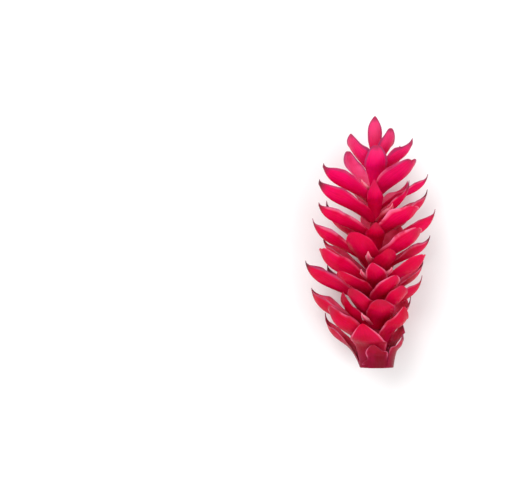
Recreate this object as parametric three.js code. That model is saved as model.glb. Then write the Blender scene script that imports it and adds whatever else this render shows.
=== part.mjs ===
// A red ginger flower head, cut short below its lowest bracts and laid on its side.
//
// The head is a stout stalk set round with waxy, boat-shaped bracts. Each bract clasps
// the stalk at its foot, leans outwards and flicks up into a point. The head lies along
// +Y with its tip towards +Y, on the plane z = 0, and rests on the tips of its lower
// bracts. All lengths are millimetres. The pieces are worked out with the middle of the
// cut under the origin, and the whole head is centred at the end.
import * as THREE from "three";

// ---- driving dimensions ----
const AXIS_HEIGHT = 41; // centre of the stalk above the surface that it lies on
const STALK_RADIUS = 7.6; // at the cut
const STALK_END_RADIUS = 2.2; // under the bud
const STALK_LENGTH = 158;
const BUD_RADIUS = 2.6;
const BUD_LENGTH = 26;
const BUD_GAP = 0.4; // between the stalk's end and the bud
const BUD_START = 0.3; // how much of its arch the bud's foot is cut short by
const BUD_FULLNESS = 0.8; // below 1, the bud's sides are fuller than a sine arch
const BRACT_THICKNESS = 1.1; // along the keel
const EDGE_SHARE = 0.5; // thickness of a bract's margin and tip, as a share of the keel's
const FOOT_GAP = 1.5; // from the stalk to the outer face of a foot
const TIP_HALF_WIDTH = 0.5;
const MAX_CLASP = 50; // how far round the stalk a foot reaches to each side, in degrees

// ---- the form that all the bracts share ----
const OUT_EASE = 1.5; // above 1, the beak turns up more steeply than the rest
const USUAL_CLASP = 0.14; // share of the rise that hugs the stalk
const HUG_POWER = 5; // how soon the foot has done hugging
const FLICK = 0.42; // share of the rise that the beak's upward flick makes
const FLICK_POWER = 4.5; // how late the flick comes
const USUAL_POINT = 1.4; // how drawn out the beak is
const BEAK_POWER = 3; // how late the beak narrows
const FOOT_WIDTH = 0.85; // the foot's width as a share of half
const SHOULDER_GAIN = 0.45; // how much wider the shoulders are
const LEAN_POWER = 2; // how late the keel turns aside
const CUP_POWER = 1.7; // how sharply the margins turn up
const LIFT_RATE = 1.8; // how soon the margins reach their full lift

// ---- mesh resolution ----
const ALONG = 11; // steps from a bract's foot to its tip
const ACROSS = 6; // steps from margin to margin
const ROUND = 16; // sides of the stalk and the bud
const BUD_STEPS = 6; // along the bud
const SLOPE_STEP = 0.01; // over which a bract's slopes are taken

const DEGREE = Math.PI / 180;

// Every bract. facing is the direction round the stalk that its keel looks in, in degrees:
// 0 is up, 90 is +X and 180 is down. foot and tip are heights above the cut, and reach is
// how far the tip stands from the stalk's centre. half is half the width, cup how far the
// margins rise above the keel, and clasp the share of the rise that hugs the stalk.
// root is the foot's distance from the stalk's centre where it isn't the usual gap, point is
// how drawn out the beak is, and lean how far the tip turns aside, in degrees.
const BRACTS = [
  // The collar, whose feet the cut has gone through.
  {
    facing: 5, foot: 0, tip: 19, reach: 21.5,
    half: 9, cup: 1, clasp: 0.5, root: 16.4, point: 0.8, lean: -14,
  },
  { facing: 72, foot: 0, tip: 28, reach: 23.5, half: 11, cup: 3, clasp: 0.5, root: 15 },
  { facing: 176, foot: 0, tip: 27, reach: 25, half: 12, cup: 3, clasp: 0.5, root: 14.4 },
  {
    facing: -17, foot: 0, tip: 36, reach: 28,
    half: 16, cup: 2, clasp: 0.5, root: 13.2, point: 0.8, lean: -6,
  },
  { facing: 126, foot: 0, tip: 38, reach: 28, half: 12, cup: 4, clasp: 0.5, root: 12 },
  { facing: -109, foot: 0, tip: 44, reach: 41.5, half: 11, cup: 9, clasp: 0.3, root: 12 },
  // The lower half.
  { facing: 48, foot: 9, tip: 49.4, reach: 31, half: 12, cup: 5, clasp: 0.5, point: 0.8 },
  { facing: -155, foot: 12, tip: 52, reach: 46.5, half: 12, cup: 6, clasp: 0.4 },
  { facing: -62, foot: 10, tip: 50, reach: 41, half: 14, cup: 12, clasp: 0.3, point: 0.9 },
  { facing: 148, foot: 18, tip: 60, reach: 49, half: 12, cup: 6, clasp: 0.4 },
  { facing: 92, foot: 20, tip: 58, reach: 29, half: 10, cup: 5, clasp: 0.5 },
  { facing: 12, foot: 31, tip: 55, reach: 33, half: 12, cup: 4, clasp: 0.3, point: 0.7, lean: -10 },
  { facing: -98, foot: 25, tip: 63.6, reach: 51.5, half: 13, cup: 13, point: 1 },
  { facing: -22, foot: 37, tip: 63.6, reach: 37, half: 10, cup: 5, point: 0.7, lean: -9 },
  { facing: 180, foot: 36, tip: 74, reach: 43, half: 12, cup: 7 },
  { facing: 38, foot: 40, tip: 66, reach: 37, half: 10, cup: 6, point: 0.8, lean: -7 },
  { facing: 83, foot: 41, tip: 74, reach: 38, half: 11, cup: 9 },
  { facing: -140, foot: 45, tip: 82, reach: 55, half: 11, cup: 8 },
  { facing: 136, foot: 50, tip: 84, reach: 48, half: 11, cup: 8 },
  { facing: 16, foot: 49, tip: 74, reach: 36, half: 10, cup: 6, point: 0.8, lean: 7 },
  { facing: -39, foot: 56, tip: 77.4, reach: 44, half: 10, cup: 6, point: 0.8 },
  { facing: 102, foot: 52, tip: 86.6, reach: 40.5, half: 10, cup: 9 },
  { facing: -88, foot: 48, tip: 85.7, reach: 56, half: 13, cup: 14, point: 1.1 },
  { facing: 2, foot: 61, tip: 84, reach: 34, half: 9, cup: 3, point: 0.8, lean: -7 },
  { facing: 166, foot: 65, tip: 100, reach: 44, half: 12, cup: 7 },
  { facing: 58, foot: 63, tip: 90, reach: 44, half: 12, cup: 9, point: 0.7 },
  { facing: -63, foot: 62, tip: 94.8, reach: 49, half: 14, cup: 11, point: 0.7 },
  // The upper half.
  { facing: -113, foot: 71, tip: 105, reach: 45, half: 9, cup: 10 },
  { facing: 16, foot: 73, tip: 95, reach: 35, half: 9, cup: 5, point: 0.8 },
  { facing: -168, foot: 76, tip: 112, reach: 44, half: 12, cup: 7 },
  { facing: 97, foot: 75, tip: 106, reach: 44.8, half: 10, cup: 11 },
  { facing: -26, foot: 78, tip: 108, reach: 36, half: 13, cup: 6, point: 0.7, lean: -5 },
  { facing: 50, foot: 82.5, tip: 111, reach: 43, half: 15, cup: 9, point: 0.7 },
  { facing: 152, foot: 86, tip: 118, reach: 48, half: 11, cup: 8 },
  { facing: -84, foot: 81, tip: 119.6, reach: 50.3, half: 12, cup: 13 },
  { facing: 82, foot: 88, tip: 127, reach: 48.5, half: 12, cup: 14 },
  { facing: -1, foot: 92, tip: 116, reach: 20, half: 8, cup: 2, clasp: 0.4, point: 0.8 },
  { facing: -112, foot: 91, tip: 134, reach: 42, half: 12, cup: 13 },
  { facing: 178, foot: 101, tip: 133, reach: 43, half: 12, cup: 7 },
  { facing: 43, foot: 104, tip: 128, reach: 43, half: 14, cup: 9, point: 0.7 },
  { facing: -66, foot: 102, tip: 131.8, reach: 50.5, half: 11.5, cup: 13 },
  { facing: 103, foot: 105, tip: 143, reach: 43.6, half: 10, cup: 11 },
  { facing: 146, foot: 118, tip: 151, reach: 51.5, half: 11, cup: 7 },
  { facing: -59, foot: 116, tip: 150, reach: 53.5, half: 14, cup: 13 },
  { facing: -2, foot: 117, tip: 150, reach: 19, half: 6.5, cup: 1.5, clasp: 0.4, point: 0.8 },
  { facing: 61, foot: 114, tip: 149.6, reach: 30, half: 6.5, cup: 6 },
  { facing: -159, foot: 125, tip: 156, reach: 44.5, half: 11, cup: 7 },
  { facing: 84, foot: 126, tip: 154.8, reach: 42.5, half: 8, cup: 9 },
  { facing: -62, foot: 130, tip: 162.8, reach: 48, half: 14, cup: 13 },
  { facing: -176, foot: 135, tip: 166, reach: 32, half: 10, cup: 6 },
  { facing: 45, foot: 136, tip: 165, reach: 38, half: 14, cup: 9, point: 0.6 },
  { facing: -138, foot: 138, tip: 174, reach: 31, half: 10, cup: 4, point: 0.6 },
  { facing: 124, foot: 145, tip: 178, reach: 26, half: 10, cup: 6, point: 1 },
  { facing: 0, foot: 141, tip: 177, reach: 21, half: 9.5, cup: 2, clasp: 0.4, point: 0.5 },
  { facing: 60, foot: 152, tip: 183, reach: 33, half: 11, cup: 8, point: 1.2 },
  { facing: -50, foot: 153, tip: 186.4, reach: 26, half: 12, cup: 6, point: 0.6 },
  { facing: 44, foot: 160, tip: 191, reach: 18, half: 8.5, cup: 3, point: 0.6 },
  { facing: -4, foot: 166, tip: 201, reach: 7.5, half: 9.5, cup: 0, point: 0.8, root: 4.2 },
];

// Share of the way out from a bract's foot (u = 0) to its tip (u = 1).
function outwards(u) {
  return 1 - (1 - u) ** OUT_EASE;
}

// Share of the height gained: it hugs the stalk, leans out evenly, then flicks up.
function rise(u, clasp) {
  const out = outwards(u);
  const hug = clasp * (1 - (1 - out) ** HUG_POWER);
  return hug + (1 - clasp - FLICK) * out + FLICK * u ** FLICK_POWER;
}

// Half width as a share of the widest: a broad foot, full shoulders and a narrow beak.
function outline(u, point) {
  return (FOOT_WIDTH + SHOULDER_GAIN * u) * (1 - u ** BEAK_POWER) ** point;
}

function stalkRadius(height) {
  return THREE.MathUtils.lerp(STALK_RADIUS, STALK_END_RADIUS, Math.min(height / STALK_LENGTH, 1));
}

// A point on a bract's outer face: u runs from foot to tip, v from margin to margin.
// A tip that would reach below the surface is pressed flat against it.
function bractPoint(bract, u, v) {
  const root = bract.root ?? stalkRadius(bract.foot) + FOOT_GAP;
  const radius = root + (bract.reach - root) * outwards(u);
  const shape = outline(u, bract.point ?? USUAL_POINT);
  const half = Math.max(bract.half * shape, TIP_HALF_WIDTH);
  const spread = Math.min(half / radius, MAX_CLASP * DEGREE);
  const keel = bract.facing + (bract.lean ?? 0) * u ** LEAN_POWER;
  const around = keel * DEGREE + spread * v;
  const lift = bract.cup * shape * Math.min(LIFT_RATE * u, 1) * Math.abs(v) ** CUP_POWER;
  const share = rise(u, bract.clasp ?? USUAL_CLASP);
  const height = bract.foot + (bract.tip - bract.foot) * share + lift;
  return new THREE.Vector3(
    radius * Math.sin(around),
    height,
    Math.max(AXIS_HEIGHT + radius * Math.cos(around), 0),
  );
}

// The direction out of the inner face, from the bract's own slopes.
function inwards(bract, u, v) {
  const alongU = bractPoint(bract, Math.min(u + SLOPE_STEP, 1), v)
    .sub(bractPoint(bract, Math.max(u - SLOPE_STEP, 0), v));
  const alongV = bractPoint(bract, u, Math.min(v + SLOPE_STEP, 1))
    .sub(bractPoint(bract, u, Math.max(v - SLOPE_STEP, -1)));
  return alongU.cross(alongV).normalize();
}

// A closed thin solid: the outer face, the inner face and the rim between them.
function bractGeometry(bract) {
  const columns = ACROSS + 1;
  const layer = columns * (ALONG + 1);
  const points = [];
  const inner = [];
  for (let i = 0; i <= ALONG; i += 1) {
    for (let j = 0; j <= ACROSS; j += 1) {
      const u = i / ALONG;
      const v = (2 * j) / ACROSS - 1;
      const thin = THREE.MathUtils.lerp(1, EDGE_SHARE, Math.max(Math.abs(v), u));
      const outer = bractPoint(bract, u, v);
      const normal = inwards(bract, u, v);
      if (i === 0) normal.setY(0).normalize();
      const inside = outer.clone().addScaledVector(normal, BRACT_THICKNESS * thin);
      points.push(outer);
      inner.push(inside);
    }
  }
  const faces = [];
  const quad = (a, b, c, d) => faces.push(a, c, b, a, d, c);
  for (let i = 0; i < ALONG; i += 1) {
    for (let j = 0; j < ACROSS; j += 1) {
      const a = i * columns + j;
      quad(a, a + columns, a + columns + 1, a + 1);
      quad(layer + a, layer + a + 1, layer + a + columns + 1, layer + a + columns);
    }
    const left = i * columns;
    const right = left + ACROSS;
    quad(left, layer + left, layer + left + columns, left + columns);
    quad(right, right + columns, layer + right + columns, layer + right);
  }
  for (let j = 0; j < ACROSS; j += 1) {
    const tip = ALONG * columns + j;
    quad(j, j + 1, layer + j + 1, layer + j);
    quad(tip, layer + tip, layer + tip + 1, tip + 1);
  }
  const geometry = new THREE.BufferGeometry().setFromPoints([...points, ...inner]);
  geometry.setIndex(faces);
  geometry.computeVertexNormals();
  return geometry;
}

function stalkGeometry() {
  const profile = [
    new THREE.Vector2(0, 0),
    new THREE.Vector2(STALK_RADIUS, 0),
    new THREE.Vector2(STALK_END_RADIUS, STALK_LENGTH),
    new THREE.Vector2(0, STALK_LENGTH),
  ];
  return new THREE.LatheGeometry(profile, ROUND);
}

function budGeometry() {
  const start = STALK_LENGTH + BUD_GAP;
  const profile = [new THREE.Vector2(0, start)];
  for (let i = 0; i < BUD_STEPS; i += 1) {
    const share = i / BUD_STEPS;
    const radius = BUD_RADIUS * Math.sin(Math.PI * (BUD_START + (1 - BUD_START) * share)) ** BUD_FULLNESS;
    profile.push(new THREE.Vector2(radius, start + BUD_LENGTH * share));
  }
  profile.push(new THREE.Vector2(0, start + BUD_LENGTH));
  return new THREE.LatheGeometry(profile, ROUND);
}

const STALK_MATERIAL = new THREE.MeshStandardMaterial({ color: 0x7d2a3a, roughness: 0.7, metalness: 0 });
const BUD_MATERIAL = new THREE.MeshStandardMaterial({ color: 0xe84f86, roughness: 0.45, metalness: 0 });

const PINK_HEIGHT = 190; // where the bracts are fully pink
const PINK_BIAS = 1.5; // above 1, the pink comes late

// Crimson below, magenta pink towards the tip of the head.
function bractMaterial(height) {
  const share = THREE.MathUtils.clamp(height / PINK_HEIGHT, 0, 1);
  const color = new THREE.Color(0xb0082e).lerp(new THREE.Color(0xf8307c), share ** PINK_BIAS);
  return new THREE.MeshStandardMaterial({ color, roughness: 0.4, metalness: 0 });
}

function named(name, geometry, material) {
  const mesh = new THREE.Mesh(geometry, material);
  mesh.name = name;
  return mesh;
}

const head = new THREE.Group();
const stalk = named("stalk", stalkGeometry(), STALK_MATERIAL);
const bud = named("apical_bud", budGeometry(), BUD_MATERIAL);
for (const piece of [stalk, bud]) {
  piece.position.z = AXIS_HEIGHT;
  head.add(piece);
}
BRACTS.forEach((bract, index) => {
  const name = `bract_${String(index + 1).padStart(2, "0")}`;
  head.add(named(name, bractGeometry(bract), bractMaterial(bract.tip)));
});

// The origin: under the middle of the head, on the surface.
const box = new THREE.Box3().setFromObject(head, true);
const middle = box.getCenter(new THREE.Vector3());
head.position.set(-middle.x, -middle.y, -box.min.z);

export default head;
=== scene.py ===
# A red ginger flower head, cut short and laid on its side: a stalk, a closed bud at its
# end, and waxy bracts set round it. Everything is in metres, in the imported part's frame:
# +Y runs along the stalk from the cut to the tip, and +Z is up from the surface.
import math

import bpy
import numpy as np
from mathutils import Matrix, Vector


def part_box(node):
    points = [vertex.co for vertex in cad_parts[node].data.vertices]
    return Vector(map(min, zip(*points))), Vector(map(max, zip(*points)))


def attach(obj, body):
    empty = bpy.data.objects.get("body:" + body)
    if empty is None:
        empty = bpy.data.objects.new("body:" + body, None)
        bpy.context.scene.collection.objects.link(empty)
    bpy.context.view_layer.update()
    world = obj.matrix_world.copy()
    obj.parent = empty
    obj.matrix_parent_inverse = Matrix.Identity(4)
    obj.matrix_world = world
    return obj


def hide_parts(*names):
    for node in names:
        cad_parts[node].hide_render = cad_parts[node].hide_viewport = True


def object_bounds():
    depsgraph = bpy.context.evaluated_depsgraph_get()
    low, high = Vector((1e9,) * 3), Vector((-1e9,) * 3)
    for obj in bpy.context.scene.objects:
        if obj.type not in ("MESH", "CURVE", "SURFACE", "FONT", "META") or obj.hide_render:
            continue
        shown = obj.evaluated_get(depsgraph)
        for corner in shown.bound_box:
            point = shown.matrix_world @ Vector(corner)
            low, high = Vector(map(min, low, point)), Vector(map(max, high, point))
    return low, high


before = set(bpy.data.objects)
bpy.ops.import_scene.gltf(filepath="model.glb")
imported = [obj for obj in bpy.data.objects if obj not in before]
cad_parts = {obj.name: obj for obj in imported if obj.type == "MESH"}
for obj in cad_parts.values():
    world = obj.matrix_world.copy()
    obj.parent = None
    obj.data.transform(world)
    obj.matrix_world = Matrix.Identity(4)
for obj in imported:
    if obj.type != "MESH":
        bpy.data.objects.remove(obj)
cad_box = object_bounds()


# ---- The stalk ----
# The stout flowering stalk, tapering from the cut to the bud. Its skin is deep red and its
# flesh pale, juicy and stranded, so the straight cut across it shows the strands as dots.

stalk_low, stalk_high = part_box("stalk")
axis_x = (stalk_low[0] + stalk_high[0]) / 2
axis_z = (stalk_low[2] + stalk_high[2]) / 2
cut_y = stalk_low[1]
stalk_length = stalk_high[1] - stalk_low[1]
stalk_radius = (stalk_high[0] - stalk_low[0]) / 2
stalk_end_radius = 0.0022
# Two sets of lengthwise ribs: how many go round, how deep they are as a share of the
# radius, and where round the stalk they start, in radians.
RIBS = ((14, 0.012, 0), (23, 0.008, 1))
SWELLING = 0.02
SWELLING_RATE = 120
ROUGH_CUT = 0.00016


def set_uv(mesh, uv_of_point):
    """Gives every face corner the UV of its point."""
    corner = np.zeros(len(mesh.loops), np.int32)
    mesh.loops.foreach_get("vertex_index", corner)
    layer = mesh.uv_layers.new(name="skin")
    layer.data.foreach_set("uv", uv_of_point[corner].astype(np.float32).ravel())


def ring_faces(rows, columns):
    """Quads between neighbouring closed rings of points, row by row."""
    row, column = np.meshgrid(np.arange(rows - 1), np.arange(columns), indexing="ij")
    here = row * columns + column
    beside = row * columns + (column + 1) % columns
    return np.stack([here, beside, beside + columns, here + columns], axis=-1).reshape(-1, 4)


def fans(rows, columns, low_point, high_point):
    """Triangles that close the first ring on low_point and the last ring on high_point."""
    ring = np.arange(columns)
    turn = (ring + 1) % columns
    last = (rows - 1) * columns
    low = np.stack([np.full(columns, low_point), turn, ring], axis=-1)
    high = np.stack([np.full(columns, high_point), last + ring, last + turn], axis=-1)
    return low.tolist() + high.tolist()


def turned_mesh(name, rings):
    """A closed mesh from (rows, columns, 3) rings that run from the cut towards the tip,
    closed at both ends by a fan on the ring's own middle. UV is (round, along)."""
    rows, columns, _ = rings.shape
    middles = np.stack([rings[0].mean(axis=0), rings[-1].mean(axis=0)])
    count = rows * columns
    mesh = bpy.data.meshes.new(name)
    mesh.from_pydata(np.vstack([rings.reshape(-1, 3), middles]).tolist(), [],
                     ring_faces(rows, columns).tolist() + fans(rows, columns, count, count + 1))
    v, u = np.meshgrid(np.linspace(0, 1, rows), np.linspace(0, 1, columns), indexing="ij")
    set_uv(mesh, np.vstack([np.stack([u, v], axis=-1).reshape(-1, 2), [[0.5, 0], [0.5, 1]]]))
    return mesh


def add_piece(mesh, material, node=None):
    """A finished piece: it rides with the head, and stands for its CAD node if it has one."""
    mesh.polygons.foreach_set("use_smooth", np.ones(len(mesh.polygons), bool))
    mesh.set_sharp_from_angle(angle=math.radians(75))
    mesh.materials.append(material)
    piece = bpy.data.objects.new(mesh.name, mesh)
    bpy.context.scene.collection.objects.link(piece)
    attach(piece, "root")
    if node:
        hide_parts(node)


def stalk_rings():
    """The radius falls evenly from the cut to the end, times shallow lengthwise ribs, which
    are cosines of the angle, and slight swellings where bracts spring, a sine of the height.
    The first rows run out from the middle of the cut to its rim, roughened near the middle."""
    around = np.linspace(0, 2 * np.pi, 96, endpoint=False)
    face = np.linspace(0.04, 1, 14)[:, None]
    along = np.linspace(0, 1, 120)[1:, None]
    ribs = sum(depth * np.cos(around * count + start) for count, depth, start in RIBS)
    face_radius = stalk_radius * face * (1 + ribs * face)
    furrows = np.abs(np.sin(face * 40 + 3 * np.cos(around * 3)))
    face_height = cut_y + ROUGH_CUT * furrows * (1 - face)
    side_radius = stalk_radius + (stalk_end_radius - stalk_radius) * along
    side_radius = side_radius * (1 + SWELLING * np.sin(along * SWELLING_RATE)) * (1 + ribs)
    side_height = np.broadcast_to(cut_y + stalk_length * along, side_radius.shape)
    radius = np.vstack([face_radius, side_radius])
    height = np.vstack([face_height, side_height])
    return np.stack([axis_x + radius * np.sin(around), height,
                     axis_z + radius * np.cos(around)], axis=-1)


def wire(tree, kind, inputs=None, **settings):
    """Adds a node, sets its own settings, and fills its inputs: a socket is linked and a
    plain value is set."""
    node = tree.nodes.new(kind)
    for key, value in settings.items():
        setattr(node, key, value)
    for key, value in (inputs or {}).items():
        if isinstance(value, bpy.types.NodeSocket):
            tree.links.new(value, node.inputs[key])
        else:
            node.inputs[key].default_value = value
    return node


def ramp(tree, value, low, high, to_low=0.0, to_high=1.0):
    """Smoothly carries value from to_low at low to to_high at high."""
    node = wire(tree, "ShaderNodeMapRange", {
        "Value": value, "From Min": low, "From Max": high,
        "To Min": to_low, "To Max": to_high}, interpolation_type="SMOOTHSTEP")
    return node.outputs["Result"]


def reckon(tree, operation, *values):
    """One step of arithmetic on sockets or plain values."""
    return wire(tree, "ShaderNodeMath", dict(enumerate(values)), operation=operation).outputs[0]


def tint(tree, share, first, second, mode="MIX"):
    """Mixes two colours by share, or in another mode works the second into the first."""
    node = wire(tree, "ShaderNodeMix", data_type="RGBA", blend_type=mode)
    for name, value in (("Factor_Float", share), ("A_Color", first), ("B_Color", second)):
        socket = next(s for s in node.inputs if s.identifier == name)
        if isinstance(value, bpy.types.NodeSocket):
            tree.links.new(value, socket)
        else:
            socket.default_value = value
    return next(s for s in node.outputs if s.identifier == "Result_Color")


def new_material(name):
    """A material with nodes: its tree and its Principled shader."""
    material = bpy.data.materials.new(name)
    material.use_nodes = True
    return material, material.node_tree, material.node_tree.nodes["Principled BSDF"]


def add_relief(tree, shader, height, strength, distance):
    """Raises the surface by a pattern's height."""
    bump = wire(tree, "ShaderNodeBump", {
        "Height": height, "Strength": strength, "Distance": distance})
    tree.links.new(bump.outputs["Normal"], shader.inputs["Normal"])


def stalk_material():
    """Deep red skin with lengthwise fibres. The cut face is pale in the middle with darker
    strands, and browns towards the rim."""
    material, tree, shader = new_material("stalk_flesh")
    place = wire(tree, "ShaderNodeTexCoord").outputs["Object"]
    centred = wire(tree, "ShaderNodeMapping", {
        "Vector": place, "Location": (-axis_x, -cut_y, -axis_z)}).outputs["Vector"]
    parts = wire(tree, "ShaderNodeSeparateXYZ", {"Vector": centred})
    flat = wire(tree, "ShaderNodeCombineXYZ", {"X": parts.outputs["X"], "Y": parts.outputs["Z"]})
    out = wire(tree, "ShaderNodeVectorMath", {0: flat.outputs[0]}, operation="LENGTH")
    rim = ramp(tree, out.outputs["Value"], stalk_radius * 0.55, stalk_radius * 0.97)
    strands = wire(tree, "ShaderNodeTexVoronoi", {"Vector": flat.outputs[0], "Scale": 1300.0})
    dots = ramp(tree, strands.outputs["Distance"], 0.18, 0.42, 1.0, 0.0)
    stretched = wire(tree, "ShaderNodeMapping", {
        "Vector": centred, "Scale": (900.0, 60.0, 900.0)}).outputs["Vector"]
    fibre = wire(tree, "ShaderNodeTexNoise", {
        "Vector": stretched, "Scale": 1.0, "Detail": 3.0}).outputs["Fac"]
    cut = tint(tree, rim, (0.62, 0.34, 0.22, 1), (0.24, 0.05, 0.035, 1))
    cut = tint(tree, dots, cut, (0.16, 0.045, 0.02, 1))
    skin = tint(tree, fibre, (0.26, 0.004, 0.02, 1), (0.46, 0.012, 0.04, 1))
    on_face = ramp(tree, parts.outputs["Y"], 0.00035, 0.0009, 1.0, 0.0)
    tree.links.new(tint(tree, on_face, skin, cut), shader.inputs["Base Color"])
    add_relief(tree, shader, fibre, strength=0.5, distance=0.0004)
    shader.inputs["Roughness"].default_value = 0.6
    shader.inputs["Specular IOR Level"].default_value = 0.15
    return material


add_piece(turned_mesh("stalk_flesh", stalk_rings()), stalk_material(), "stalk")


# ---- The bracts ----
# Waxy, fleshy leaves that carry the head's colour: crimson low down and magenta pink near
# the tip. Each clasps the stalk, leans out like a boat and flicks up into a dry dark point.
# The margins are thin and pale, with a painted highlight where the waxy rim catches light, and fine
# veins run from foot to tip.

# facing is the way round the stalk that the keel looks, in degrees: 0 up, 90 +X, 180 down.
# foot and tip are heights above the cut, reach is the tip's distance from the stalk's
# middle, half is half the width, and cup is how far the margins rise above the keel, all
# in millimetres. clasp is the share of the rise that hugs the stalk, point is how drawn out
# the beak is, and lean is how far the tip turns aside, in degrees. shade, how deep the red
# is, and pale, how white the margins are, are given where they aren't left to chance. Given
# values of shade are partly painted shade on the bracts along the head's middle, and pale is
# partly a painted highlight where the waxy rim catches light.
BRACTS = [
    # The collar, whose feet the cut has gone through.
    dict(facing=5, foot=0, tip=19, reach=21.5,
         half=9, cup=1, clasp=0.5, root=16.4, point=0.8, lean=-14),
    dict(facing=72, foot=0, tip=28, reach=23.5, half=11, cup=3, clasp=0.5, root=15),
    dict(facing=176, foot=0, tip=27, reach=25, half=12, cup=3, clasp=0.5, root=14.4),
    dict(facing=-17, foot=0, tip=36, reach=28,
         half=16, cup=2, clasp=0.5, root=13.2, point=0.8, lean=-6),
    dict(facing=126, foot=0, tip=38, reach=28, half=12, cup=4, clasp=0.5, root=12),
    dict(facing=-109, foot=0, tip=44, reach=41.5, half=11, cup=9, clasp=0.3, root=12),
    # The lower half.
    dict(facing=48, foot=9, tip=49.4, reach=31, half=12, cup=5, clasp=0.5, point=0.8, pale=0.9),
    dict(facing=-155, foot=12, tip=52, reach=46.5, half=12, cup=6, clasp=0.4),
    dict(facing=-62, foot=10, tip=50, reach=41, half=14, cup=12, clasp=0.3, point=0.9),
    dict(facing=148, foot=18, tip=60, reach=49, half=12, cup=6, clasp=0.4),
    dict(facing=92, foot=20, tip=58, reach=29, half=10, cup=5, clasp=0.5),
    dict(facing=12, foot=31, tip=55, reach=33, half=12, cup=4, clasp=0.3, point=0.7, lean=-10),
    dict(facing=-98, foot=25, tip=63.6, reach=51.5, half=13, cup=13, point=1),
    dict(facing=-22, foot=37, tip=63.6, reach=37, half=10, cup=5, point=0.7, lean=-9),
    dict(facing=180, foot=36, tip=74, reach=43, half=12, cup=7),
    dict(facing=38, foot=40, tip=66, reach=37, half=10, cup=6, point=0.8, lean=-7),
    dict(facing=83, foot=41, tip=74, reach=38, half=11, cup=9),
    dict(facing=-140, foot=45, tip=82, reach=55, half=11, cup=8),
    dict(facing=136, foot=50, tip=84, reach=48, half=11, cup=8),
    dict(facing=16, foot=49, tip=74, reach=36, half=10, cup=6, point=0.8, lean=7, pale=0.9),
    dict(facing=-39, foot=56, tip=77.4, reach=44, half=10, cup=6, point=0.8),
    dict(facing=102, foot=52, tip=86.6, reach=40.5, half=10, cup=9),
    dict(facing=-88, foot=48, tip=85.7, reach=56, half=13, cup=14, point=1.1),
    dict(facing=2, foot=61, tip=84, reach=34, half=9, cup=3, point=0.8, lean=-7, pale=0.8),
    dict(facing=166, foot=65, tip=100, reach=44, half=12, cup=7),
    dict(facing=58, foot=63, tip=90, reach=44, half=12, cup=9, point=0.7),
    dict(facing=-63, foot=62, tip=94.8, reach=49, half=14, cup=11, point=0.7),
    # The upper half.
    dict(facing=-113, foot=71, tip=105, reach=45, half=9, cup=10),
    dict(facing=16, foot=73, tip=95, reach=35, half=9, cup=5, point=0.8, shade=1, pale=0),
    dict(facing=-168, foot=76, tip=112, reach=44, half=12, cup=7),
    dict(facing=97, foot=75, tip=106, reach=44.8, half=10, cup=11, pale=1.1),
    dict(facing=-26, foot=78, tip=108, reach=36,
         half=13, cup=6, point=0.7, lean=-5, pale=0.1, shade=0.9),
    dict(facing=50, foot=82.5, tip=111, reach=43, half=15, cup=9, point=0.7, pale=1.1),
    dict(facing=152, foot=86, tip=118, reach=48, half=11, cup=8),
    dict(facing=-84, foot=81, tip=119.6, reach=50.3, half=12, cup=13, pale=1.1),
    dict(facing=82, foot=88, tip=127, reach=48.5, half=12, cup=14),
    dict(facing=-1, foot=92, tip=116, reach=20,
         half=8, cup=2, clasp=0.4, point=0.8, shade=1, pale=0),
    dict(facing=-112, foot=91, tip=134, reach=42, half=12, cup=13),
    dict(facing=178, foot=101, tip=133, reach=43, half=12, cup=7),
    dict(facing=43, foot=104, tip=128, reach=43, half=14, cup=9, point=0.7, pale=1.1),
    dict(facing=-66, foot=102, tip=131.8, reach=50.5, half=11.5, cup=13, pale=1.1),
    dict(facing=103, foot=105, tip=143, reach=43.6, half=10, cup=11, pale=1.1),
    dict(facing=146, foot=118, tip=151, reach=51.5, half=11, cup=7),
    dict(facing=-59, foot=116, tip=150, reach=53.5, half=14, cup=13),
    dict(facing=-2, foot=117, tip=150, reach=19,
         half=6.5, cup=1.5, clasp=0.4, point=0.8, shade=0.6, pale=0),
    dict(facing=61, foot=114, tip=149.6, reach=30, half=6.5, cup=6, pale=1.1),
    dict(facing=-159, foot=125, tip=156, reach=44.5, half=11, cup=7),
    dict(facing=84, foot=126, tip=154.8, reach=42.5, half=8, cup=9, pale=1.1),
    dict(facing=-62, foot=130, tip=162.8, reach=48, half=14, cup=13),
    dict(facing=-176, foot=135, tip=166, reach=32, half=10, cup=6),
    dict(facing=45, foot=136, tip=165, reach=38, half=14, cup=9, point=0.6),
    dict(facing=-138, foot=138, tip=174, reach=31, half=10, cup=4, point=0.6),
    dict(facing=124, foot=145, tip=178, reach=26, half=10, cup=6, point=1),
    dict(facing=0, foot=141, tip=177, reach=21,
         half=9.5, cup=2, clasp=0.4, point=0.5, pale=0.1, shade=0.1),
    dict(facing=60, foot=152, tip=183, reach=33, half=11, cup=8, point=1.2),
    dict(facing=-50, foot=153, tip=186.4, reach=26, half=12, cup=6, point=0.9),
    dict(facing=44, foot=160, tip=191, reach=18, half=8.5, cup=3, point=0.6),
    dict(facing=-4, foot=166, tip=201, reach=7.5, half=9.5, cup=0, point=0.8, root=4.2),
]
# What all the bracts share. First the shares and powers of the formulas below.
USUAL_CLASP = 0.14
USUAL_POINT = 1.4
OUT_EASE = 1.5
HUG_POWER = 5
FLICK = 0.42
FLICK_POWER = 4.5
BEAK_POWER = 3
CUP_POWER = 1.7
LIFT_RATE = 1.8
CLASP_POWER = 7
THINNING = 0.55
EDGE_POWER = 10
WIDTH_WAVE = 0.03
LIP_START = 0.8
# Then angles in radians and lengths in metres.
MAX_CLASP = math.radians(50)
TWIST = 0.04
FOOT_GAP = 0.0015
KEEL_THICKNESS = 0.0011
MARGIN_WAVE = 0.0009
LIP = 0.0008
# And the mesh: its steps, how its rows crowd, where it ends, and the step that finds slopes.
ALONG_STEPS = 52
ACROSS_STEPS = 30
ROW_CROWDING = 0.92
VERY_TIP = 0.9995
SLOPE_STEP = 0.004


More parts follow.
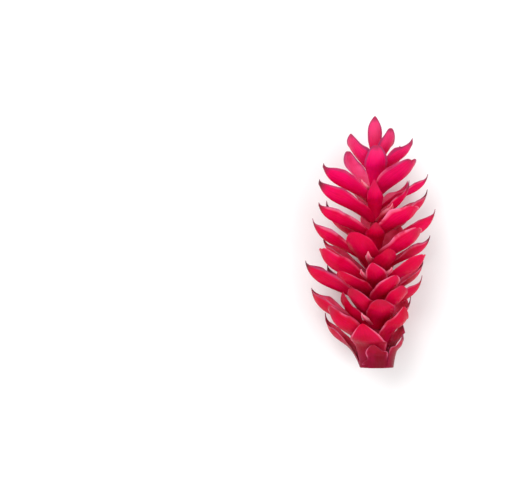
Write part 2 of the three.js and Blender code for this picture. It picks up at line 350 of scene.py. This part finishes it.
def outwards(along):
    """Share of the way out from the foot to the tip; it eases off, so the beak turns up."""
    return 1 - (1 - along) ** OUT_EASE


def rise(along, clasp):
    """Share of the height gained: it hugs the stalk, leans out evenly, then flicks up."""
    out = outwards(along)
    hug = clasp * (1 - (1 - out) ** HUG_POWER)
    return hug + (1 - clasp - FLICK) * out + FLICK * along ** FLICK_POWER


def outline(along, point):
    """Half width as a share of the widest: broad foot, full shoulders, narrow beak."""
    return (0.85 + 0.45 * along) * (1 - along ** BEAK_POWER) ** point


def bract_face(bract, along, across, seed):
    """The outer face as points, along from foot to tip and across from margin to margin.
    Polar round the stalk's line: the radius grows from root to reach, and the height follows
    rise(). The angle is across times the half width over the radius, eased to stay under
    MAX_CLASP. The margins are lifted by cup times across to CUP_POWER. On top come a soft
    wave of the margins, a thin lip that turns outwards, and a slight twist."""
    wave_start, wave_second, twist_share = np.random.default_rng(seed).uniform(0, 6.28, 3)
    foot, tip, reach = bract["foot"] / 1000, bract["tip"] / 1000, bract["reach"] / 1000
    stalk_here = stalk_radius + (stalk_end_radius - stalk_radius) * foot / stalk_length
    root = bract["root"] / 1000 if "root" in bract else stalk_here + FOOT_GAP
    radius = root + (reach - root) * outwards(along)
    shape = outline(along, bract.get("point", USUAL_POINT))
    spread = bract["half"] / 1000 * shape / radius
    spread = spread / (1 + (spread / MAX_CLASP) ** CLASP_POWER) ** (1 / CLASP_POWER)
    edge = np.abs(across)
    belly = np.sin(np.pi * along)
    wave = np.sin(along * 7 + wave_start + across) + 0.4 * np.sin(along * 15 + wave_second - across)
    lift = bract["cup"] / 1000 * shape * np.minimum(LIFT_RATE * along, 1) * edge ** CUP_POWER
    lift = lift + MARGIN_WAVE * wave * belly * edge ** 3
    spread = spread * (1 + WIDTH_WAVE * wave * belly)
    lip = np.clip((edge - LIP_START) / (1 - LIP_START), 0, 1) ** 2
    radius = radius + LIP * lip * belly * np.clip(3 * along - 0.5, 0, 1)
    keel = math.radians(bract["facing"]) + math.radians(bract.get("lean", 0)) * along ** 2
    around = keel + spread * across + TWIST * math.sin(twist_share) * along ** 4
    height = cut_y + foot + (tip - foot) * rise(along, bract.get("clasp", USUAL_CLASP)) + lift
    return np.stack([axis_x + radius * np.sin(around), height,
                     np.maximum(axis_z + radius * np.cos(around), 0.0)], axis=-1)


def bract_moods(bract, seed):
    """How this bract differs from its neighbours: shade is how deep its red is, partly at random
    and partly painted shade, deeper the less the bract faces out to a flank. dried is how far
    its point has withered, and paled how white its margins are, partly pale tissue and partly a
    painted highlight. The hooked bracts on the flanks have withered most, and the margins are
    palest on the flanks and low down."""
    luck = np.random.default_rng(seed + 500).uniform(0, 1, 3)
    flank = abs(math.sin(math.radians(bract["facing"])))
    hooked = flank > 0.6 and bract.get("point", USUAL_POINT) > 0.9
    low = np.clip((75 - bract["foot"]) / 25, 0, 1)
    return {"shade": bract.get("shade", 0.6 * luck[0] + 0.4 * (1 - flank)),
            "dried": 0.6 + 0.4 * luck[1] if hooked else 0.3 * luck[1],
            "paled": bract.get("pale", (0.3 + 0.7 * luck[2]) * max(flank, low, 0.2))}


def bract_mesh(name, bract, seed):
    """A thin closed skin. Each ring runs over the outer face from margin to margin and back
    over the inner face, which is set in along the outer one's normals. The thickness is the
    keel's in the middle, thins towards the margins and the tip, and falls to nothing at the
    very edge. The foot is closed flat across, in the cut's own plane where the cut went
    through it, and the tip by a point."""
    along, across = np.meshgrid(
        np.linspace(0, 1, ALONG_STEPS + 1)[:-1] ** ROW_CROWDING,
        np.sin(np.linspace(-0.5, 0.5, ACROSS_STEPS + 1) * np.pi), indexing="ij")
    outer = bract_face(bract, along, across, seed)
    lengthwise = (bract_face(bract, along + SLOPE_STEP, across, seed)
                  - bract_face(bract, np.maximum(along - SLOPE_STEP, 0), across, seed))
    sideways = (bract_face(bract, along, np.minimum(across + SLOPE_STEP, 1), seed)
                - bract_face(bract, along, np.maximum(across - SLOPE_STEP, -1), seed))
    inwards = np.cross(lengthwise, sideways)
    if bract["foot"] == 0:
        inwards[0, :, 1] = 0
    inwards /= np.linalg.norm(inwards, axis=-1, keepdims=True)
    thin = 1 - THINNING * np.maximum(np.abs(across), along)
    thickness = KEEL_THICKNESS * thin * np.sqrt(1 - np.abs(across) ** EDGE_POWER)
    inner = outer + inwards * thickness[..., None]
    rows, columns = ALONG_STEPS, 2 * ACROSS_STEPS
    tip = bract_face(bract, np.array([VERY_TIP]), np.array([0.0]), seed)
    points = np.concatenate([outer, inner[:, -2:0:-1]], axis=1).reshape(-1, 3)
    sheet = np.stack([(across + 1) / 2, along], axis=-1)
    uv = np.concatenate([sheet, sheet[:, -2:0:-1]], axis=1).reshape(-1, 2)
    place = np.arange(ACROSS_STEPS + 1)
    back = (columns - place) % columns
    foot = np.stack([place[:-1], back[:-1], back[1:], place[1:]], axis=-1).tolist()
    last = (rows - 1) * columns + np.arange(columns)
    point = np.stack([last, np.roll(last, -1), np.full(columns, rows * columns)], axis=-1)
    mesh = bpy.data.meshes.new(name)
    mesh.from_pydata(np.vstack([points, tip]).tolist(), [],
                     ring_faces(rows, columns).tolist() + point.tolist()
                     + [list(dict.fromkeys(face)) for face in foot])
    set_uv(mesh, np.vstack([uv, [[0.5, 1.0]]]))
    inside = np.zeros((rows, columns), np.float32)
    inside[:, ACROSS_STEPS + 1:] = 1
    mesh.attributes.new("inside", "FLOAT", "POINT").data.foreach_set(
        "value", np.append(inside, 0).astype(np.float32))
    for mood, value in bract_moods(bract, seed).items():
        mesh.attributes.new(mood, "FLOAT", "POINT").data.foreach_set(
            "value", np.full(len(mesh.vertices), value, np.float32))
    return mesh


def ramp_straight(tree, value, low, high):
    """Carries value evenly from 0 at low to 1 at high."""
    return wire(tree, "ShaderNodeMapRange", {
        "Value": value, "From Min": low, "From Max": high}).outputs["Result"]


def skin_group():
    """The waxy skin, from where a point is on its bract and on the head. Colour runs from
    crimson at the cut to magenta pink at the head's tip, darkens in painted shade towards each
    bract's foot, where it lies in under its neighbours, and pales on the inner face. It pales
    in a narrow band at the margins too, partly thin pale tissue and partly a painted highlight
    where the waxy rim catches light, and dries to grey brown at the point and mauve at the very
    edge. The young bracts near the head's tip all have mauve edges.
    Height is fine veins that run lengthwise, over a soft pebbling."""
    tree = bpy.data.node_groups.new("bract_skin", "ShaderNodeTree")
    for name in ("Along", "Across", "Inside", "Shade", "Dried", "Paled", "Up The Head"):
        tree.interface.new_socket(name, in_out="INPUT", socket_type="NodeSocketFloat")
    tree.interface.new_socket("Place", in_out="INPUT", socket_type="NodeSocketVector")
    tree.interface.new_socket("Colour", in_out="OUTPUT", socket_type="NodeSocketColor")
    for name in ("Roughness", "Height"):
        tree.interface.new_socket(name, in_out="OUTPUT", socket_type="NodeSocketFloat")
    given = tree.nodes.new("NodeGroupInput").outputs
    result = tree.nodes.new("NodeGroupOutput").inputs
    along, inside = given["Along"], given["Inside"]
    edge = reckon(tree, "ABSOLUTE", reckon(tree, "MULTIPLY_ADD", given["Across"], 2.0, -1.0))
    cloud = wire(tree, "ShaderNodeTexNoise", {
        "Vector": given["Place"], "Scale": 90.0, "Detail": 3.0}).outputs["Fac"]
    sheet = wire(tree, "ShaderNodeCombineXYZ", {
        "X": reckon(tree, "MULTIPLY", given["Across"], 46.0),
        "Y": reckon(tree, "MULTIPLY", along, 2.4),
        "Z": reckon(tree, "MULTIPLY", given["Shade"], 50.0)})
    veins = wire(tree, "ShaderNodeTexNoise", {
        "Vector": sheet.outputs[0], "Scale": 1.0, "Detail": 4.0, "Roughness": 0.6}).outputs["Fac"]
    fine = wire(tree, "ShaderNodeTexNoise", {
        "Vector": given["Place"], "Scale": 900.0, "Detail": 2.0}).outputs["Fac"]
    up = given["Up The Head"]
    colour = tint(tree, ramp(tree, up, 0.0, 0.2), (0.29, 0.010, 0.034, 1), (0.62, 0.001, 0.034, 1))
    colour = tint(tree, ramp(tree, up, 0.15, 0.62), colour, (0.78, 0.001, 0.068, 1))
    colour = tint(tree, ramp(tree, up, 0.60, 0.82), colour, (0.82, 0.003, 0.13, 1))
    colour = tint(tree, ramp(tree, up, 0.80, 0.98), colour, (0.84, 0.075, 0.25, 1))
    # Partly painted shade: the Shade input deepens the red, partly each bract's own tone and partly
    # shade on bracts lying deep in the head's middle.
    deep = ramp(tree, given["Shade"], 0.0, 1.0, 0.1, 0.75)
    colour = tint(tree, deep, colour, (0.72, 0.4, 0.5, 1), "MULTIPLY")
    # Painted shade: each bract darkens towards its foot, where it lies in under its neighbours.
    low = ramp(tree, along, 0.05, 0.55, 0.5, 0.0)
    colour = tint(tree, low, colour, (0.55, 0.3, 0.35, 1), "MULTIPLY")
    veined = ramp(tree, veins, 0.42, 0.62, 0.0, 0.45)
    colour = tint(tree, veined, colour, (0.68, 0.4, 0.5, 1), "MULTIPLY")
    colour = tint(tree, ramp(tree, cloud, 0.35, 0.7), colour, (0.07, 0.0, 0.02, 1), "ADD")
    bloom = reckon(tree, "MULTIPLY", ramp(tree, cloud, 0.3, 0.65, 0.35, 0.8), inside)
    bloom = reckon(tree, "MULTIPLY", bloom, ramp(tree, edge, 0.2, 0.9, 0.5, 1.0))
    young = ramp(tree, up, 0.70, 0.86)
    bloomed = tint(tree, young, (0.86, 0.10, 0.22, 1), (0.93, 0.125, 0.37, 1))
    colour = tint(tree, bloom, colour, bloomed)
    # Partly pale tissue, partly painted highlight: the margins turn white pink, as thin pale tissue
    # and as the waxy rim catching light.
    margin = reckon(tree, "MULTIPLY_ADD", given["Paled"], -0.12, 0.93)
    pale = reckon(tree, "MULTIPLY", ramp_straight(tree, edge, margin, 1.0), given["Paled"])
    pale = reckon(tree, "MULTIPLY", pale, ramp(tree, cloud, 0.38, 0.56, 0.15, 1.0))
    pale = reckon(tree, "MULTIPLY", pale, ramp(tree, along, 0.1, 0.4))
    colour = tint(tree, pale, colour, (1.0, 0.22, 0.38, 1))
    dried = reckon(tree, "ADD", along, ramp(tree, edge, 0.5, 1.0, 0.0, 0.03))
    dried = reckon(tree, "ADD", dried, ramp(tree, cloud, 0.3, 0.7, -0.02, 0.02))
    young_point = reckon(tree, "MULTIPLY", ramp(tree, dried, 0.9, 1.0, 0.0, 0.6), young)
    dried = reckon(tree, "MULTIPLY", ramp(tree, dried, 0.76, 0.96), given["Dried"])
    dried = reckon(tree, "MAXIMUM", dried, young_point)
    colour = tint(tree, dried, colour, (0.075, 0.022, 0.028, 1))
    rim = reckon(tree, "MULTIPLY_ADD", young, 0.1, edge)
    rim = reckon(tree, "MULTIPLY", ramp(tree, rim, 0.86, 0.98), ramp(tree, along, 0.15, 0.6, 0.0, 0.8))
    withered = reckon(tree, "MAXIMUM", given["Dried"], young)
    rim = reckon(tree, "MULTIPLY", rim, withered)
    colour = tint(tree, rim, colour, (0.28, 0.04, 0.13, 1))
    tree.links.new(colour, result["Colour"])
    gloss = reckon(tree, "ADD", ramp(tree, cloud, 0.3, 0.7, 0.30, 0.42),
                   reckon(tree, "MULTIPLY", dried, 0.3))
    tree.links.new(gloss, result["Roughness"])
    relief = reckon(tree, "MULTIPLY_ADD", fine, 0.22, veins)
    tree.links.new(relief, result["Height"])
    return tree


def let_light_in(shader, weight, radius, scale):
    """Lets light into soft tissue; radius is how far red, green and blue spread, in scales."""
    shader.inputs["Subsurface Weight"].default_value = weight
    shader.inputs["Subsurface Radius"].default_value = radius
    shader.inputs["Subsurface Scale"].default_value = scale


def bract_material(group):
    """Waxy red tissue that lets some light in."""
    material, tree, shader = new_material("bract_wax")
    uv = wire(tree, "ShaderNodeSeparateXYZ", {
        "Vector": wire(tree, "ShaderNodeUVMap", uv_map="skin").outputs["UV"]})
    place = wire(tree, "ShaderNodeTexCoord").outputs["Object"]
    height = wire(tree, "ShaderNodeSeparateXYZ", {"Vector": place}).outputs["Y"]
    skin = wire(tree, "ShaderNodeGroup", node_tree=group)
    tree.links.new(uv.outputs["X"], skin.inputs["Across"])
    tree.links.new(uv.outputs["Y"], skin.inputs["Along"])
    tree.links.new(place, skin.inputs["Place"])
    tree.links.new(ramp_straight(tree, height, cad_box[0][1], cad_box[1][1]),
                   skin.inputs["Up The Head"])
    for name in ("inside", "shade", "dried", "paled"):
        value = wire(tree, "ShaderNodeAttribute", attribute_name=name).outputs["Fac"]
        tree.links.new(value, skin.inputs[name.title()])
    tree.links.new(skin.outputs["Colour"], shader.inputs["Base Color"])
    tree.links.new(skin.outputs["Roughness"], shader.inputs["Roughness"])
    add_relief(tree, shader, skin.outputs["Height"], strength=0.35, distance=0.0004)
    let_light_in(shader, 0.25, (1.0, 0.12, 0.2), 0.003)
    shader.inputs["Specular IOR Level"].default_value = 0.07
    return material


bract_wax = bract_material(skin_group())
for number, bract in enumerate(BRACTS, start=1):
    skin = bract_mesh(f"bract_skin_{number:02d}", bract, seed=number)
    add_piece(skin, bract_wax, f"bract_{number:02d}")


# ---- The inner bract ----
# A bract of the same waxy tissue that stayed short, deep between the big ones. A slice of
# it shows where its neighbours spread apart.

inner_bract = dict(facing=-54, foot=27, tip=61, reach=33,
                   half=8, cup=5, point=0.9, shade=0.8, pale=0.4)
add_piece(bract_mesh("inner_bract", inner_bract, seed=401), bract_wax)


# ---- The cut sheaths ----
# The clasping bases of lower bracts, long since pulled away. Only short thin rings of them
# are left round the stalk at the cut, inside the collar.

# radius is a ring's distance from the stalk's middle. The other values are as for the
# bracts, and all are in the same units. The rings lie a millimetre or so apart.
SHEATHS = [
    dict(facing=0, radius=9.4, half=9, tip=9),
    dict(facing=100, radius=9.4, half=9, tip=12),
    dict(facing=200, radius=9.4, half=9, tip=10),
    dict(facing=50, radius=10.7, half=9, tip=8),
    dict(facing=-60, radius=10.7, half=9, tip=9),
    dict(facing=155, radius=10.7, half=10, tip=7),
    dict(facing=47, radius=11.9, half=7, tip=10),
    dict(facing=188, radius=11.9, half=2.8, tip=9),
    dict(facing=78, radius=13.2, half=10, tip=9),
    dict(facing=150, radius=13.2, half=10.5, tip=18),
    dict(facing=-8, radius=14.6, half=9.5, tip=7),
]
for number, sheath in enumerate(SHEATHS, start=1):
    ring = dict(sheath, foot=0, root=sheath["radius"], reach=sheath["radius"] + 0.2,
                cup=0, point=0.5, shade=0.7, pale=0.3)
    skin = bract_mesh(f"cut_sheath_{number:02d}", ring, seed=300 + number)
    add_piece(skin, bract_wax)


# ---- The bracteoles ----
# Small, thin, pale pink scales that wrap the flower buds in the bracts' axils. Only their
# tips show between the bracts, so each is a short folded scale on the stalk.

# facing, foot, tip, reach, half and cup are as for the bracts, in the same units.
BRACTEOLES = [
    dict(facing=-25, foot=66, tip=79, reach=29, half=3.2, cup=2.0),
    dict(facing=-22, foot=33, tip=44.5, reach=29, half=2.8, cup=1.8),
    dict(facing=-14, foot=80, tip=93, reach=30, half=3.4, cup=2.0),
    dict(facing=24, foot=68, tip=80.5, reach=31, half=3.6, cup=2.4),
    dict(facing=38, foot=58, tip=70, reach=28, half=3.0, cup=1.8),
    dict(facing=30, foot=117, tip=131, reach=26, half=3.4, cup=2.4),
    dict(facing=-30, foot=137, tip=150, reach=22, half=3.2, cup=2.0),
    dict(facing=-92, foot=74, tip=88, reach=28, half=3.4, cup=2.2),
    dict(facing=82, foot=66, tip=79, reach=27, half=3.2, cup=2.0),
    dict(facing=88, foot=106, tip=119, reach=26, half=3.4, cup=2.2),
    dict(facing=-150, foot=60, tip=73, reach=27, half=3.4, cup=2.2),
    dict(facing=160, foot=84, tip=98, reach=27, half=3.4, cup=2.2),
    dict(facing=-172, foot=114, tip=127, reach=25, half=3.2, cup=2.0),
    dict(facing=122, foot=64, tip=77, reach=27, half=3.2, cup=2.0),
]


def bracteole_material():
    """Thin papery tissue, white pink at the margins and deeper at the keel, with fine veins."""
    material, tree, shader = new_material("bracteole_tissue")
    sheet = wire(tree, "ShaderNodeSeparateXYZ", {
        "Vector": wire(tree, "ShaderNodeUVMap", uv_map="skin").outputs["UV"]})
    edge = reckon(tree, "ABSOLUTE", reckon(tree, "MULTIPLY_ADD", sheet.outputs["X"], 2.0, -1.0))
    lines = wire(tree, "ShaderNodeCombineXYZ", {
        "X": reckon(tree, "MULTIPLY", sheet.outputs["X"], 14.0),
        "Y": reckon(tree, "MULTIPLY", sheet.outputs["Y"], 1.5)})
    veins = wire(tree, "ShaderNodeTexNoise", {
        "Vector": lines.outputs[0], "Scale": 1.0, "Detail": 3.0}).outputs["Fac"]
    colour = tint(tree, ramp(tree, edge, 0.1, 0.9), (0.80, 0.06, 0.16, 1), (0.90, 0.30, 0.38, 1))
    colour = tint(tree, ramp(tree, veins, 0.45, 0.65, 0.0, 0.4), colour, (0.75, 0.04, 0.14, 1))
    low = ramp(tree, sheet.outputs["Y"], 0.2, 0.6, 0.8, 0.0)
    colour = tint(tree, low, colour, (0.6, 0.01, 0.06, 1))
    tree.links.new(colour, shader.inputs["Base Color"])
    add_relief(tree, shader, veins, strength=0.3, distance=0.0002)
    let_light_in(shader, 0.3, (1.0, 0.25, 0.3), 0.002)
    shader.inputs["Roughness"].default_value = 0.5
    return material


bracteole_tissue = bracteole_material()
for number, bracteole in enumerate(BRACTEOLES, start=1):
    skin = bract_mesh(f"bracteole_{number:02d}", bracteole, seed=200 + number)
    add_piece(skin, bracteole_tissue)


# ---- The apical bud ----
# The closed bud at the stalk's end: young bracts still folded round each other into a
# slender pointed cone, pale pink and a little ribbed where their margins overlap.

bud_low, bud_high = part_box("apical_bud")
BUD_START = 0.3
BUD_FULLNESS = 0.8
MARGIN_STEP = 0.10


def bud_rings():
    """A pointed cone: the radius is a power of a sine, swelling early and then falling to the
    tip. Two shallow steps wind round it, where one young bract's margin lies over the next."""
    along, around = np.meshgrid(
        np.linspace(0, 0.999, 70), np.linspace(0, 2 * np.pi, 48, endpoint=False), indexing="ij")
    swell = np.sin(np.pi * (BUD_START + (1 - BUD_START) * along)) ** BUD_FULLNESS
    turn = (around / np.pi + along * 2.2) % 1
    radius = (bud_high[0] - bud_low[0]) / 2 * swell * (1 - MARGIN_STEP * turn)
    height = bud_low[1] + (bud_high[1] - bud_low[1]) * along
    return np.stack([axis_x + radius * np.sin(around), height,
                     axis_z + radius * np.cos(around)], axis=-1)


def bud_material():
    """Pale pink young tissue, deeper towards the foot, with fine lengthwise veins."""
    material, tree, shader = new_material("bud_skin")
    place = wire(tree, "ShaderNodeTexCoord").outputs["Object"]
    height = wire(tree, "ShaderNodeSeparateXYZ", {"Vector": place}).outputs["Y"]
    stretched = wire(tree, "ShaderNodeMapping", {
        "Vector": place, "Scale": (1200.0, 90.0, 1200.0)}).outputs["Vector"]
    veins = wire(tree, "ShaderNodeTexNoise", {
        "Vector": stretched, "Scale": 1.0, "Detail": 3.0}).outputs["Fac"]
    colour = tint(tree, ramp_straight(tree, height, bud_low[1], bud_high[1]),
                  (0.80, 0.02, 0.12, 1), (1.0, 0.16, 0.30, 1))
    colour = tint(tree, ramp(tree, veins, 0.4, 0.65, 0.0, 0.3), colour, (0.62, 0.0, 0.06, 1))
    tree.links.new(colour, shader.inputs["Base Color"])
    add_relief(tree, shader, veins, strength=0.4, distance=0.0003)
    let_light_in(shader, 0.25, (1.0, 0.15, 0.2), 0.002)
    shader.inputs["Roughness"].default_value = 0.4
    return material


add_piece(turned_mesh("bud_skin", bud_rings()), bud_material(), "apical_bud")


# ---- The setting ----
# A plain pale surface under soft studio light, seen from straight above.

scene = bpy.context.scene
scene.view_settings.view_transform = "Standard"

HALF_FLOOR = 6
floor_mesh = bpy.data.meshes.new("floor")
corners = [(-1, -1), (1, -1), (1, 1), (-1, 1)]
floor_mesh.from_pydata([(x * HALF_FLOOR, y * HALF_FLOOR, 0) for x, y in corners],
                       [], [(0, 1, 2, 3)])
floor = bpy.data.objects.new("floor", floor_mesh)
scene.collection.objects.link(floor)
paper, paper_tree, paper_shader = new_material("pale_paper")
paper_grain = wire(paper_tree, "ShaderNodeTexNoise", {
    "Vector": wire(paper_tree, "ShaderNodeTexCoord").outputs["Object"], "Scale": 3.0})
paper_tree.links.new(
    tint(paper_tree, paper_grain.outputs["Fac"], (0.90, 0.90, 0.90, 1), (0.93, 0.93, 0.93, 1)),
    paper_shader.inputs["Base Color"])
paper_shader.inputs["Roughness"].default_value = 0.9
paper_shader.inputs["Specular IOR Level"].default_value = 0.07
floor_mesh.materials.append(paper)

scene.world = bpy.data.worlds.new("room")
scene.world.use_nodes = True
background = scene.world.node_tree.nodes["Background"]
background.inputs["Color"].default_value = (1, 1, 1, 1)
background.inputs["Strength"].default_value = 0.78


def soft_light(name, place, size, power):
    """A square area light that looks at the head."""
    data = bpy.data.lights.new(name, "AREA")
    data.size = size
    data.energy = power
    lamp = bpy.data.objects.new(name, data)
    scene.collection.objects.link(lamp)
    lamp.location = place
    aim = Vector((0, 0, axis_z)) - Vector(place)
    lamp.rotation_euler = aim.to_track_quat("-Z", "Y").to_euler()


soft_light("key", (-0.7, 0.7, 1.7), size=1.2, power=20)
soft_light("fill", (0.9, -0.2, 1.5), size=1.6, power=10)

# The camera looks straight down from 2 m above the stalk's line. The head lies to the
# right of the middle of the view.
CAMERA_HEIGHT = 2.0
VIEW_MIDDLE = (-0.0916, -0.0066)
camera_data = bpy.data.cameras.new("camera")
camera_data.sensor_width = 36
camera_data.lens = 176
camera = bpy.data.objects.new("camera", camera_data)
scene.collection.objects.link(camera)
camera.location = (*VIEW_MIDDLE, CAMERA_HEIGHT + axis_z)
scene.camera = camera
